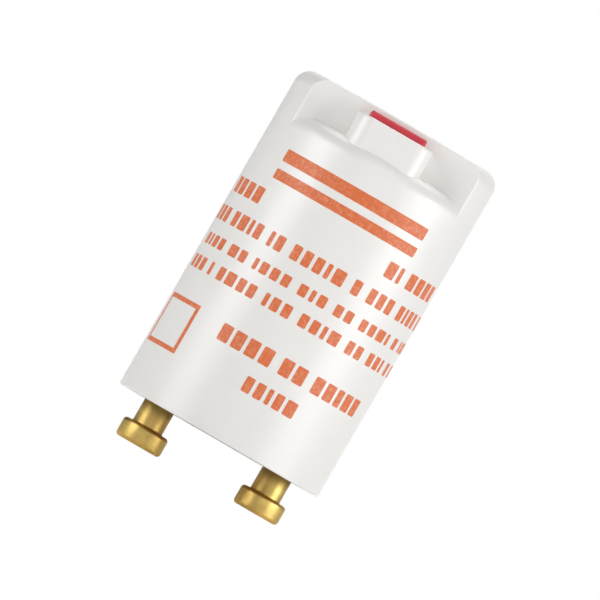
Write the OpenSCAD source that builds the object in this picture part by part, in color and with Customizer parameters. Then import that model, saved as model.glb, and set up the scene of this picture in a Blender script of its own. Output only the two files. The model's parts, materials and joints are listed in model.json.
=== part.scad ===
// Starter for a fluorescent lamp, with a thermal cut-out and a reset button.
// A moulded can stands on two mushroom contact pins. A grip bar crosses its top between
// two finger recesses, and the boss in the front one guides the button.
// Inside, a glow switch makes and breaks the lamp's heating circuit, and a capacitor
// damps interference. A heater bends the trip strip when the lamp won't start:
// its hook lets go of the button's stem, and the spring lifts the contact bridge.
// Millimetres, +Z up along the axis, front towards -Y, z = 0 at the rim that seats on the holder.

/* [Can] */
// Outside diameter of the can
body_d = 21.4; // [21.2:0.1:22]
// Height of the can from its rim to the middle of its top
body_h = 34.5; // [33.5:0.5:37]
// Thickness of the can's wall and roof
wall = 1.1; // [1:0.05:1.2]
// Radius of the edge round the top
top_edge_r = 1.6; // [1.2:0.1:2]
// Rise of the top's middle over its edge
crown = 0.2; // [0.1:0.05:0.4]

/* [Grip] */
// Thickness of the grip bar, front to back
bar_w = 11.7; // [11:0.1:12.4]
// Depth of the finger recesses below the top
recess_h = 4; // [3.4:0.1:4.4]
// Radius of the bar's upright edges
bar_edge_r = 0.7; // [0.4:0.1:1]
// Radius of the shoulder's outer edge in the recesses
shoulder_r = 1.7; // [1:0.1:2]

/* [Button boss] */
// Width of the boss that guides the button
boss_w = 7.95; // [7.8:0.05:8.6]
// How far the boss's front is set in from the can's side
boss_set = 0.9; // [0.6:0.05:1]
// Drop from the can's top to the boss's top
boss_drop = 1.3; // [1:0.1:1.8]
// Radius of the boss's front corners
boss_r = 1.8; // [0.8:0.1:2.4]

/* [Reset button] */
// Width of the button's head
button_w = 5.96; // [5:0.1:6.2]
// Depth of the button's head, front to back
button_d = 2.2; // [1.8:0.1:2.3]
// How far the set button stands out of its boss
button_proud = 0.68; // [0.4:0.02:1.2]
// Travel of the button from set to tripped
button_travel = 1.6; // [1.2:0.1:2]
// Chamfer round the button's top
button_chamfer = 0.3; // [0.1:0.05:0.4]
// Gap round the button in its slot
button_gap = 0.12; // [0.08:0.01:0.14]
// Diameter of the button's stem
stem_d = 2.2; // [2:0.1:2.3]
// Gap round the stem in its guide
stem_gap = 0.08; // [0.05:0.01:0.1]

/* [Spring] */
// Outside diameter of the button's spring
spring_d = 3.8; // [3.4:0.1:3.9]
// Diameter of the spring's wire
spring_wire_d = 0.4; // [0.3:0.05:0.45]
// Number of turns of the spring
spring_turns = 5.5; // [4.5:0.5:6.5]

/* [Base and pins] */
// Thickness of the base plate
base_t = 1.6; // [1.4:0.1:2]
// How far the base plate is sunk behind the rim
base_sink = 0.4; // [0.3:0.05:0.6]
// Width of the ledge that the base plate seats on
base_ledge = 0.3; // [0.2:0.05:0.4]
// Distance between the pins' axes
pin_pitch = 12.7; // [12.6:0.05:12.8]
// Diameter of a pin's neck
neck_d = 3.1; // [2.8:0.1:3.4]
// Diameter of a pin's head
head_d = 4.7; // [4.4:0.1:5]
// Thickness of a pin's head
head_t = 1.95; // [1.7:0.05:2.2]
// Radius of the edges of a pin's head
head_edge_r = 0.37; // [0.2:0.01:0.5]
// How far the pins stand out of the rim
pin_out = 4.25; // [4:0.05:4.5]
// Diameter of a pin's riveted tail
tail_d = 2; // [1.8:0.1:2.2]

/* [Glow switch] */
// Gap between the bulb and the can's wall
bulb_wall_gap = 1.5; // [1.2:0.1:2]
// Gap between the bulb's tip and the can's roof
bulb_roof_gap = 1.5; // [1:0.1:3]
// Thickness of the bulb's glass
glass_t = 0.55; // [0.4:0.05:0.7]
// Diameter of the posts in the bulb
post_d = 0.5; // [0.4:0.05:0.6]
// Gap between the open contacts in the bulb
glow_gap = 0.25; // [0.15:0.05:0.35]

/* [Capacitor] */
// Width of the capacitor
cap_w = 8; // [7:0.5:9]
// Thickness of the capacitor
cap_t = 2.3; // [2:0.1:2.4]
// Height of the capacitor
cap_h = 9; // [7:0.5:11]

/* [Cut-out switch] */
// Height of the contact shelves over the base plate
shelf_h = 10; // [9.6:0.1:11]
// Height of the button's guide over the contact shelves
guide_h = 6.8; // [6:0.1:7.4]
// Gap between the button's spring and the can's wall
spring_wall_gap = 1; // [0.8:0.05:1.1]
// Thickness of the sheet in contacts and tags
sheet_t = 0.4; // [0.3:0.05:0.4]
// Thickness of the trip strip
strip_t = 0.3; // [0.2:0.05:0.3]
// Diameter of the wires
wire_d = 0.5; // [0.4:0.05:0.5]

/* [Hidden] */
$fn = 96;
body_r = body_d / 2;
inner_r = body_r - wall;
inner_edge_r = max(0.3, top_edge_r - wall);
// The crown is part of a ball that meets the can's edge this much lower than its middle
crown_r = (body_r * body_r + crown * crown) / (2 * crown);
shoulder_z = body_h - recess_h;
roof_z = shoulder_z - wall;
bar_y = bar_w / 2;
boss_front = body_r - boss_set;
boss_top_z = body_h - boss_drop;
past = 1;
// Base plate and the seat that holds it
seat_gap = 0.05;
seat_r = inner_r + base_ledge;
bead_t = 0.12;
base_top_z = base_sink + base_t;
pin_x = pin_pitch / 2;
rivet_d = 1.5 * tail_d;
rivet_t = 0.5;
tag_r = 1.7;
tag_y = 1.5;
tag_h = 4.5;
tag_w = 2;
// Button, stem and stops
button_y = -(boss_front + bar_y) / 2;
button_top_z = boss_top_z + button_proud;
stem_y = -(inner_r - spring_wall_gap - spring_d / 2);
stop_gap = 0.1;
flange_t = 1;
flange_w = button_w + 0.64;
flange_z = roof_z - button_travel - stop_gap;
// Carrier of the cut-out switch
carrier_gap = 0.3;
// How far the side walls' front corners lie inside the round the carrier is cut to
corner_in = 0.1;
contact_w = 1.8;
contact_y = stem_y;
carrier_front = contact_y - contact_w / 2;
back_y = stem_y + spring_d / 2 + 2 * carrier_gap;
back_t = 1;
side_t = 0.8;
side_out = sqrt(pow(inner_r - carrier_gap - corner_in, 2) - pow(carrier_front, 2));
side_x = side_out - side_t;
shelf_t = 1;
shelf_l = 3;
shelf_x = side_out - shelf_l;
shelf_z = base_top_z + shelf_h;
guide_z = shelf_z + guide_h;
guide_t = 1.2;
foot_h = 1.2;
peg_d = 1.4;
peg_x = side_out - side_t;
peg_y = back_y - side_t / 2;
peg_gap = 0.05;
// Contacts
tip_d = 1.6;
tip_t = 0.4;
tip_x = shelf_x + 1;
touch_gap = 0.02;
tail_h = 2.9;
tail_w = 1.2;
tail_wall_gap = 0.25;
tail_y = contact_y + contact_w / 2 - tail_w;
blade_out_x = sqrt(pow(inner_r - tail_wall_gap, 2) - tail_y * tail_y);
bridge_x = side_x - carrier_gap;
bridge_z = shelf_z + sheet_t + 2 * tip_t + touch_gap;
spigot_d = 1.3;
stake_d = 2;
stake_t = 0.5;
// Trip strip with its hook, rivet and heater
strip_w = 2.8;
strip_low = 3.2;
hook_z = bridge_z + sheet_t + 2;
hook_grip = 0.25;
hook_t = 0.5;
notch_gap = 0.15;
notch_h = 2;
strip_rivet_d = 1.2;
strip_rivet_head_d = 2;
strip_rivet_head_t = 0.4;
strip_rivet_z = base_top_z + 4.4;
heater_d = 1.8;
heater_h = 4;
heater_y = back_y - strip_t - carrier_gap - heater_d / 2;
heater_top_z = shelf_z - 0.2;
link_z = base_top_z + 1.6;
// Bulb, its posts and the bimetal strip between them
cap_back_gap = 0.95;
cap_y = back_y + back_t + cap_back_gap + cap_t / 2;
bulb_cap_gap = 0.25;
bulb_front_y = cap_y + cap_t / 2 + bulb_cap_gap;
bulb_back_y = inner_r - bulb_wall_gap;
bulb_r = (bulb_back_y - bulb_front_y) / 2;
bulb_y = (bulb_back_y + bulb_front_y) / 2;
pinch_z = base_top_z + 2.9;
pinch_w = 4.4;
pinch_t = 1.8;
pinch_h = 3.6;
tip_r = 0.9;
bulb_low_z = pinch_z + 1.1 + bulb_r;
bulb_high_z = roof_z - bulb_roof_gap - tip_r - bulb_r;
post_x = 1.2;
post_gap = 0.01;
post_top_gap = 4.2;
post_high_z = bulb_high_z - post_top_gap;
post_low_z = base_top_z + 2;
weld_h = 2.5;
u_t = 0.25;
u_w = 1.6;
u_out_r = (2 * post_x - glow_gap + 2 * u_t) / 2;
u_x = post_x + post_d / 2 + u_t - u_out_r;
u_low_z = bulb_low_z + 0.8;
u_high_z = post_high_z - 1;
u_short_h = 0.6 * (u_high_z - u_low_z);
weld_top_z = min(u_low_z + weld_h, u_high_z);
// Capacitor and its leads
cap_z = base_top_z + 6;
cap_lead_x = 2.5;
cap_lead_z = base_top_z + 3.2;
lead_to_x = pin_x - 0.45;

// Half of the can's section, with a rounded top edge under the crown
module can_section(r, h, edge_r) {
  edge_z = h - edge_r - crown / 2;
  intersection() {
    union() {
      square([r, edge_z]);
      square([r - edge_r, h + past]);
      translate([r - edge_r, edge_z]) circle(edge_r);
    }
    translate([0, h - crown_r]) circle(crown_r, $fn = 720);
  }
}

// Half of a plain drum's section, with a rounded top edge
module drum_section(r, h, edge_r) {
  square([r, h - edge_r]);
  square([r - edge_r, h]);
  translate([r - edge_r, h - edge_r]) circle(edge_r);
}

// The grip bar seen from above, its corners rounded into the can's circle
module bar_outline() {
  c_y = bar_y - bar_edge_r;
  c_x = sqrt(pow(body_r - bar_edge_r, 2) - c_y * c_y);
  out = body_r + 2 * past;
  k = out / (body_r - bar_edge_r);
  difference() {
    square([2 * out, bar_w], center = true);
    for (sx = [-1, 1], sy = [-1, 1])
      polygon([
        [sx * c_x, sy * c_y],
        [sx * c_x, sy * (bar_y + past)],
        [sx * out, sy * (bar_y + past)],
        [sx * c_x * k, sy * c_y * k]
      ]);
  }
  for (sx = [-1, 1], sy = [-1, 1])
    translate([sx * c_x, sy * c_y]) circle(bar_edge_r);
}

// The boss seen from above, with round front corners, reaching back into the bar
module boss_outline() {
  x = boss_w / 2;
  back = -bar_y + wall / 2;
  translate([-x, -boss_front + boss_r]) square([boss_w, back + boss_front - boss_r]);
  translate([-x + boss_r, -boss_front]) square([boss_w - 2 * boss_r, boss_r + past]);
  for (s = [-1, 1])
    translate([s * (x - boss_r), -boss_front + boss_r]) circle(boss_r);
}

// A wire through a list of points, with a ball a little thicker than it at each bend
module wire(points, d = wire_d) {
  corner = 1.12;
  for (i = [0 : len(points) - 2]) {
    run = points[i + 1] - points[i];
    translate(points[i])
      rotate([0, acos(run.z / norm(run)), atan2(run.y, run.x)])
        cylinder(d = d, h = norm(run), $fn = 32);
  }
  if (len(points) > 2)
    for (i = [1 : len(points) - 2])
      translate(points[i]) sphere(d = corner * d, $fn = 32);
}

module housing() {
  color("#f4f1ee")
    difference() {
      union() {
        rotate_extrude() drum_section(body_r, shoulder_z, shoulder_r);
        intersection() {
          rotate_extrude() can_section(body_r, body_h, top_edge_r);
          translate([0, 0, shoulder_z / 2])
            linear_extrude(body_h) bar_outline();
        }
        translate([0, 0, roof_z])
          linear_extrude(boss_top_z - roof_z) boss_outline();
      }
      // Hollow below the shoulders
      translate([0, 0, -past]) cylinder(r = inner_r, h = roof_z + past);
      // Hollow of the grip bar
      intersection() {
        rotate_extrude() can_section(inner_r, body_h - wall, inner_edge_r);
        translate([-body_r, -bar_y + wall, roof_z - past])
          cube([body_d, bar_w - 2 * wall, body_h]);
      }
      // Seat of the base plate
      translate([0, 0, -past]) cylinder(r = seat_r, h = base_top_z + past);
      // Slot that guides the button
      translate([
        -button_w / 2 - button_gap,
        button_y - button_d / 2 - button_gap,
        roof_z - past
      ])
        cube([button_w + 2 * button_gap, button_d + 2 * button_gap, body_h]);
    }
  // Bead that the base plate snaps in behind
  color("#f4f1ee")
    rotate_extrude()
      translate([seat_r - bead_t, base_sink / 4])
        square([bead_t + (body_r - seat_r) / 2, base_sink / 2]);
}

module base_plate() {
  color("#b98f5a")
    translate([0, 0, base_sink])
      difference() {
        cylinder(r = seat_r - seat_gap, h = base_t);
        for (s = [-1, 1]) {
          translate([s * pin_x, 0, -past])
            cylinder(d = tail_d + 2 * peg_gap, h = base_t + 2 * past);
          translate([s * peg_x, peg_y, -past])
            cylinder(d = peg_d + 2 * peg_gap, h = base_t + 2 * past);
        }
      }
}

// A turned mushroom pin with its riveted tail, on the side given by s
module contact_pin(s) {
  in_r = head_d / 2 - head_edge_r;
  color("#c9962e")
    translate([s * pin_x, 0, 0]) {
      rotate_extrude()
        translate([0, -pin_out]) {
          square([in_r, head_t]);
          translate([0, head_edge_r]) square([head_d / 2, head_t - 2 * head_edge_r]);
          for (z = [head_edge_r, head_t - head_edge_r])
            translate([in_r, z]) circle(head_edge_r, $fn = 48);
        }
      translate([0, 0, -pin_out + head_t / 2])
        cylinder(d = neck_d, h = pin_out - head_t / 2 + base_sink);
      translate([0, 0, -past])
        cylinder(d = tail_d, h = past + base_top_z + sheet_t + rivet_t / 2);
      translate([0, 0, base_top_z + sheet_t])
        cylinder(d = rivet_d, h = rivet_t);
    }
}

// A stamped tag: an eye under the pin's rivet, and an upright that takes the wires
module solder_tag(s) {
  color("#cfcac0")
    translate([s * pin_x, 0, base_top_z]) {
      difference() {
        union() {
          cylinder(r = tag_r, h = sheet_t);
          translate([-tag_w / 2, 0, 0]) cube([tag_w, tag_y + sheet_t, sheet_t]);
        }
        translate([0, 0, -past])
          cylinder(d = tail_d + 2 * peg_gap, h = sheet_t + 2 * past);
      }
      translate([-tag_w / 2, tag_y, 0]) cube([tag_w, sheet_t, tag_h]);
    }
}

// The blown bulb: round ends, a flat pinch round the posts, and the sealed-off tip
module glow_bulb_glass() {
  color("#dfe8ea")
    translate([0, bulb_y, 0])
      difference() {
        union() {
          translate([0, 0, bulb_low_z]) cylinder(r = bulb_r, h = bulb_high_z - bulb_low_z);
          translate([0, 0, bulb_low_z]) sphere(bulb_r);
          translate([0, 0, bulb_high_z]) sphere(bulb_r);
          translate([0, 0, bulb_high_z + bulb_r]) sphere(tip_r, $fn = 48);
          translate([-pinch_w / 2, -pinch_t / 2, pinch_z]) cube([pinch_w, pinch_t, pinch_h]);
        }
        translate([0, 0, bulb_low_z])
          cylinder(r = bulb_r - glass_t, h = bulb_high_z - bulb_low_z);
        translate([0, 0, bulb_high_z]) sphere(bulb_r - glass_t);
        translate([0, 0, bulb_low_z]) sphere(bulb_r - glass_t);
        for (s = [-1, 1])
          translate([s * post_x, 0, pinch_z - past])
            cylinder(d = post_d + 2 * post_gap, h = pinch_h + 2 * past, $fn = 32);
      }
}

// The still electrode, one wire from inside the bulb to the left pin's tag
module glow_post_left() {
  color("#b5b2aa")
    mirror([1, 0, 0])
      wire([
        [post_x, bulb_y, post_high_z],
        [post_x, bulb_y, post_low_z],
        [lead_to_x, bulb_y, post_low_z],
        [lead_to_x, tag_y + sheet_t, post_low_z]
      ], post_d);
}

module glow_post_right() {
  color("#b5b2aa")
    wire([[post_x, bulb_y, post_low_z], [post_x, bulb_y, weld_top_z]], post_d);
}

// The U-shaped bimetal strip that bends onto the still electrode
module glow_bimetal() {
  color("#a8895c")
    translate([u_x, bulb_y, 0]) {
      translate([u_out_r - u_t, -u_w / 2, u_low_z]) cube([u_t, u_w, u_high_z - u_low_z]);
      translate([-u_out_r, -u_w / 2, u_high_z - u_short_h]) cube([u_t, u_w, u_short_h]);
      translate([0, u_w / 2, u_high_z])
        rotate([90, 0, 0])
          difference() {
            cylinder(r = u_out_r, h = u_w);
            translate([0, 0, -past]) cylinder(r = u_out_r - u_t, h = u_w + 2 * past);
            translate([-past - u_out_r, -2 * u_out_r, -past])
              cube([2 * u_out_r + 2 * past, 2 * u_out_r, u_w + 2 * past]);
          }
    }
}

module capacitor() {
  end_x = (cap_w - cap_t) / 2;
  color("#b5793a")
    translate([0, cap_y, cap_z])
      linear_extrude(cap_h) {
        square([2 * end_x, cap_t], center = true);
        for (s = [-1, 1]) translate([s * end_x, 0]) circle(d = cap_t);
      }
}

// The right lead, or its mirror image where s is -1
module capacitor_lead(s) {
  color("#c4c2bb")
    mirror([s < 0 ? 1 : 0, 0, 0])
      wire([
        [cap_lead_x, cap_y, cap_z],
        [cap_lead_x, cap_y, cap_lead_z],
        [lead_to_x, cap_y, cap_lead_z],
        [lead_to_x, tag_y, cap_lead_z]
      ]);
}

// The moulded frame: a back wall with feet and pegs, two contact shelves, and the stem's guide
module switch_carrier() {
  top_z = guide_z + guide_t;
  color("#3f4246")
    difference() {
      union() {
        intersection() {
          union() {
            // Back wall
            translate([-side_out, back_y, base_top_z])
              cube([2 * side_out, back_t, top_z - base_top_z]);
            // Guide over the stem
            translate([-side_out, -body_r, guide_z])
              cube([2 * side_out, body_r + back_y + back_t / 2, guide_t]);
            for (s = [-1, 1]) {
              x_in = s < 0 ? -side_out : side_x;
              // Side wall
              translate([x_in, carrier_front, shelf_z - shelf_t])
                cube([side_t, back_y - carrier_front + back_t / 2, top_z - shelf_z + shelf_t]);
              // Shelf that a fixed contact lies on
              translate([s < 0 ? -side_out : shelf_x, carrier_front, shelf_z - shelf_t])
                cube([shelf_l, back_y - carrier_front + back_t / 2, shelf_t]);
              // Foot on the base plate
              translate([s * peg_x - side_t, peg_y - side_t, base_top_z])
                cube([2 * side_t, 2 * side_t, foot_h]);
            }
          }
          cylinder(r = inner_r - carrier_gap, h = body_h);
        }
        // Pegs staked in the base plate
        for (s = [-1, 1])
          translate([s * peg_x, peg_y, base_sink])
            cylinder(d = peg_d, h = base_t + foot_h / 2);
      }
      // Guide bore for the stem
      translate([0, stem_y, guide_z - past])
        cylinder(d = stem_d + 2 * stem_gap, h = guide_t + 2 * past);
      // Window behind the trip strip, where it bends back
      translate([-strip_w / 2 - carrier_gap, back_y - past, strip_rivet_z + 3])
        cube([strip_w + 2 * carrier_gap, back_t + 2 * past, guide_z - strip_rivet_z - 3]);
      // Window for the wire to the bulb
      translate([-1.6, back_y - past, base_top_z - past])
        cube([3.2, back_t + 2 * past, past + strip_low - wire_d]);
      // Slots for the fixed contacts
      for (s = [-1, 1])
        translate([
          s < 0 ? -side_out - past : side_x - past / 2,
          contact_y - contact_w / 2 - touch_gap,
          shelf_z
        ])
          cube([side_t + 1.5 * past, contact_w + 2 * touch_gap, sheet_t + touch_gap]);
      // Hole for the trip strip's rivet
      translate([0, back_y - past, strip_rivet_z])
        rotate([-90, 0, 0]) cylinder(d = strip_rivet_d, h = back_t + 2 * past, $fn = 48);
    }
}

// A fixed contact: a blade on its shelf that passes through the side wall and turns down
module fixed_contact(s) {
  neck_l = blade_out_x - shelf_x;
  color("#c58b3a") {
    translate([s < 0 ? -side_out : shelf_x, contact_y - contact_w / 2, shelf_z])
      cube([shelf_l, contact_w, sheet_t]);
    translate([s < 0 ? -blade_out_x : shelf_x, tail_y, shelf_z])
      cube([neck_l, tail_w, sheet_t]);
    translate([
      s < 0 ? -blade_out_x : blade_out_x - sheet_t,
      tail_y,
      shelf_z + sheet_t - tail_h
    ])
      cube([sheet_t, tail_w, tail_h]);
  }
}

module fixed_contact_tips() {
  color("#d9dadb")
    for (s = [-1, 1])
      translate([s * tip_x, contact_y, shelf_z + sheet_t])
        cylinder(d = tip_d, h = tip_t, $fn = 48);
}

// The strip that the heater bends: its hook holds the stem down at the ledge of its notch
module trip_bimetal() {
  front_y = back_y - strip_t;
  hook_y = stem_y + stem_d / 2 - hook_grip;
  color("#a8895c")
    difference() {
      union() {
        translate([-strip_w / 2, front_y, base_top_z + strip_low])
          cube([strip_w, strip_t, hook_z + hook_t - base_top_z - strip_low]);
        translate([-stem_d / 2, hook_y, hook_z + touch_gap])
          cube([stem_d, front_y - hook_y + strip_t / 2, hook_t - touch_gap]);
      }
      translate([0, front_y - past, strip_rivet_z])
        rotate([-90, 0, 0]) cylinder(d = strip_rivet_d, h = strip_t + 2 * past, $fn = 48);
    }
}

module trip_rivet() {
  color("#cfcac0")
    translate([0, back_y - strip_t, strip_rivet_z])
      rotate([-90, 0, 0]) {
        translate([0, 0, -strip_rivet_head_t])
          cylinder(d = strip_rivet_head_d, h = strip_rivet_head_t, $fn = 48);
        translate([0, 0, -strip_rivet_head_t])
          cylinder(
            d = strip_rivet_d,
            h = strip_t + back_t + 2 * strip_rivet_head_t,
            $fn = 48
          );
        translate([0, 0, strip_t + back_t])
          cylinder(d = strip_rivet_head_d, h = strip_rivet_head_t, $fn = 48);
      }
}

module heater_resistor() {
  color("#5d86a8")
    translate([0, heater_y, heater_top_z - heater_h])
      rotate_extrude() drum_section(heater_d / 2, heater_h, heater_d / 8);
}

module heater_link_wire() {
  bend_z = shelf_z + sheet_t / 2;
  weld_y = contact_y + contact_w / 4;
  color("#c4c2bb")
    wire([
      [0, heater_y, heater_top_z],
      [0, heater_y, bend_z],
      [sheet_t / 8 - shelf_x, weld_y, bend_z]
    ], sheet_t);
}

module glow_link_wire() {
  color("#c4c2bb")
    wire([
      [0, heater_y, heater_top_z - heater_h],
      [0, heater_y, link_z],
      [post_x, back_y + back_t / 2, link_z],
      [post_x, bulb_y, link_z],
      [post_x, bulb_y, post_low_z]
    ], sheet_t);
}

module pin_link_wire() {
  tail_mid_y = tail_y + tail_w / 2;
  tail_mid_x = blade_out_x - sheet_t / 2;
  tag_mid_x = pin_x + tag_w / 4;
  tail_end_z = shelf_z + sheet_t - tail_h;
  color("#c4c2bb")
    wire([
      [tag_mid_x, tag_y, post_low_z],
      [tag_mid_x, back_y + back_t, post_low_z],
      [tail_mid_x, tail_mid_y, post_low_z + 3],
      [tail_mid_x, tail_mid_y, tail_end_z]
    ], sheet_t);
}

// Head, flange and notched stem, moulded in one
module reset_button() {
  head_z = flange_z - flange_t;
  stem_z = bridge_z + sheet_t;
  color("#c43c44") {
    // Head with its chamfered top
    translate([0, button_y, 0]) {
      translate([-button_w / 2, -button_d / 2, head_z])
        cube([button_w, button_d, button_top_z - button_chamfer - head_z]);
      difference() {
        translate([-button_w / 2, -button_d / 2, button_top_z - 2 * button_chamfer])
          cube([button_w, button_d, 2 * button_chamfer]);
        for (s = [-1, 1]) {
          translate([s * button_w / 2, -button_d, button_top_z - button_chamfer])
            rotate([0, s * 45, 0])
              translate([-button_w / 2, 0, 0])
                cube([button_w, 2 * button_d, button_w]);
          translate([-button_w, s * button_d / 2, button_top_z - button_chamfer])
            rotate([-s * 45, 0, 0])
              translate([0, -button_d / 2, 0])
                cube([2 * button_w, button_d, button_d]);
        }
      }
    }
    // Flange that stops under the roof and holds the spring
    translate([-flange_w / 2, stem_y - spring_d / 2, head_z])
      cube([flange_w, spring_d, flange_t]);
    // Stem with the notch that the hook sits in
    difference() {
      translate([0, stem_y, stem_z]) cylinder(d = stem_d, h = head_z - stem_z + flange_t / 2);
      translate([-stem_d, stem_y + stem_d / 2 - hook_grip - notch_gap, hook_z])
        cube([2 * stem_d, stem_d, notch_h]);
    }
    // Spigot and its staked end under the bridge
    translate([0, stem_y, bridge_z - stake_t])
      cylinder(d = spigot_d, h = stake_t + sheet_t + past, $fn = 48);
    translate([0, stem_y, bridge_z - stake_t])
      cylinder(d = stake_d, h = stake_t, $fn = 48);
  }
}

// Height along the spring after u turns, with closed coils at both ends
function coil_z(u, length) =
  let (
    closed = 1,
    flat = 1.08 * spring_wire_d,
    open = spring_turns - 2 * closed,
    pitch = (length - 2 * closed * flat) / open
  )
  u < closed ? u * flat
  : u > spring_turns - closed ? length - (spring_turns - u) * flat
  : closed * flat + (u - closed) * pitch;

module button_spring() {
  low_z = guide_z + guide_t + spring_wire_d / 2 + touch_gap;
  high_z = flange_z - flange_t - spring_wire_d / 2 - touch_gap;
  steps = 24;
  sides = 8;
  mean_r = (spring_d - spring_wire_d) / 2;
  rings = floor(spring_turns * steps);
  points = [
    for (i = [0 : rings], j = [0 : sides - 1])
      let (
        u = i / steps,
        r = mean_r + spring_wire_d / 2 * cos(360 * j / sides)
      )
      [
        r * cos(360 * u),
        r * sin(360 * u),
        coil_z(u, high_z - low_z) + spring_wire_d / 2 * sin(360 * j / sides)
      ]
  ];
  walls = [
    for (i = [0 : rings - 1], j = [0 : sides - 1])
      let (a = i * sides + j, b = i * sides + (j + 1) % sides)
      [a, a + sides, b + sides, b]
  ];
  caps = [
    [for (j = [0 : sides - 1]) j],
    [for (j = [sides - 1 : -1 : 0]) rings * sides + j]
  ];
  color("#9c9fa3")
    translate([0, stem_y, low_z]) polyhedron(points, concat(walls, caps));
}

module contact_bridge() {
  color("#c58b3a")
    difference() {
      translate([-bridge_x, contact_y - contact_w / 2, bridge_z])
        cube([2 * bridge_x, contact_w, sheet_t]);
      translate([0, stem_y, bridge_z - past])
        cylinder(d = spigot_d + 2 * touch_gap, h = sheet_t + 2 * past, $fn = 48);
    }
}

module bridge_contact_tips() {
  color("#d9dadb")
    for (s = [-1, 1])
      translate([s * tip_x, contact_y, bridge_z - tip_t])
        cylinder(d = tip_d, h = tip_t, $fn = 48);
}

housing();
base_plate();
contact_pin(-1);  // contact_pin_left
contact_pin(1);  // contact_pin_right
solder_tag(-1);  // solder_tag_left
solder_tag(1);  // solder_tag_right
glow_bulb_glass();
glow_post_left();
glow_post_right();
glow_bimetal();
capacitor();
capacitor_lead(-1);  // capacitor_lead_left
capacitor_lead(1);  // capacitor_lead_right
switch_carrier();
fixed_contact(-1);  // fixed_contact_left
fixed_contact(1);  // fixed_contact_right
fixed_contact_tips();
trip_bimetal();
trip_rivet();
heater_resistor();
heater_link_wire();
glow_link_wire();
pin_link_wire();
reset_button();
button_spring();
contact_bridge();
bridge_contact_tips();
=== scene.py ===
"""Visual model of a starter for a fluorescent lamp, with its reset button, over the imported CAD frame."""

import json
import math

import bpy
from mathutils import Matrix, Vector

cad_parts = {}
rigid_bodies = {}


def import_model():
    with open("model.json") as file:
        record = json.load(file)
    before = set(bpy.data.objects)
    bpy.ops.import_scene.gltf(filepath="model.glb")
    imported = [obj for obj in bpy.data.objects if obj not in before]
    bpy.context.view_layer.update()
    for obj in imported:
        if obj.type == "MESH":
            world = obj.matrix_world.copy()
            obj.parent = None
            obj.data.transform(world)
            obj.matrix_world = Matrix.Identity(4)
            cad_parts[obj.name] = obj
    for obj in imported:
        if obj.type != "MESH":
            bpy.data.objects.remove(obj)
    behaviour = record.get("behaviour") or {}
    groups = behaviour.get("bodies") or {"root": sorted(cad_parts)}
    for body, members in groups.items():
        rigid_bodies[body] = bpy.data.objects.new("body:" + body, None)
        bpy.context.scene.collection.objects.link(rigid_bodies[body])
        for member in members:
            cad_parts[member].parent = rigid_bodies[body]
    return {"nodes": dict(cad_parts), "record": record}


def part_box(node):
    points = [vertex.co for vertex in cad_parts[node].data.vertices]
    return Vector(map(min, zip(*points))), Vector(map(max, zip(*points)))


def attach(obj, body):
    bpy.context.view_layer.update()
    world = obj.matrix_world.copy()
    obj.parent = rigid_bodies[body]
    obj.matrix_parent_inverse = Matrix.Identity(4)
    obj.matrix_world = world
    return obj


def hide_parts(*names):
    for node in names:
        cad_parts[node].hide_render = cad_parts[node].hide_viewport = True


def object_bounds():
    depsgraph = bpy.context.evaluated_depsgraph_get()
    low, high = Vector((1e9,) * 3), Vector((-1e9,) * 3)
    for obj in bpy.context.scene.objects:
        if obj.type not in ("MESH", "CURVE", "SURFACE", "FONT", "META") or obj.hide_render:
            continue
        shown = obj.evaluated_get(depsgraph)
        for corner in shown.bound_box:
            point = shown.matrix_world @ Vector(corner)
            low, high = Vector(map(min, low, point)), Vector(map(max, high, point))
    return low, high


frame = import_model()
CAD_BOX = [list(corner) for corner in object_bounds()]

bl_info = {
    "name": "Fluorescent starter",
    "version": (1, 0, 0),
    "blender": (4, 5, 0),
    "location": "View3D > Sidebar > Starter",
    "description": "Builds a starter for a fluorescent lamp, its print, its finishes and its stage",
    "category": "Object",
}

MM = 0.001
# Flats round the can, round a pin, round the button's stem, and round its spigot and stake
CAN_SIDES = 192
PIN_SIDES = 96
STEM_SIDES = 64
SPIGOT_SIDES = 48
# Turn below which a crease is shaded soft
SOFT_TURN = math.radians(28)
# How far a cutting shape runs past what it cuts, how far a joined one runs into what it joins,
# and a hair that keeps two faces from lying on each other
PAST = 1.0 * MM
SUNK = 0.3 * MM
HAIR = 0.002 * MM
# The span that a noise texture's values mostly lie in
NOISE_LOW, NOISE_HIGH = 0.3, 0.7


def linear(colour):
    """A written colour, such as EDEBE8, as three linear values."""
    values = [int(colour[i:i + 2], 16) / 255 for i in (0, 2, 4)]
    return [v / 12.92 if v <= 0.04045 else ((v + 0.055) / 1.055) ** 2.4 for v in values]


def length(label, what, mm):
    """A size that the sidebar shows as a length."""
    return bpy.props.FloatProperty(name=label, description=what, default=mm * MM, min=0.0,
                                   precision=5, unit="LENGTH")


def paint(label, what, colour):
    """A colour that the sidebar shows as a swatch."""
    return bpy.props.FloatVectorProperty(name=label, description=what, default=linear(colour),
                                         size=3, min=0.0, max=1.0, subtype="COLOR")


# Settings

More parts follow.
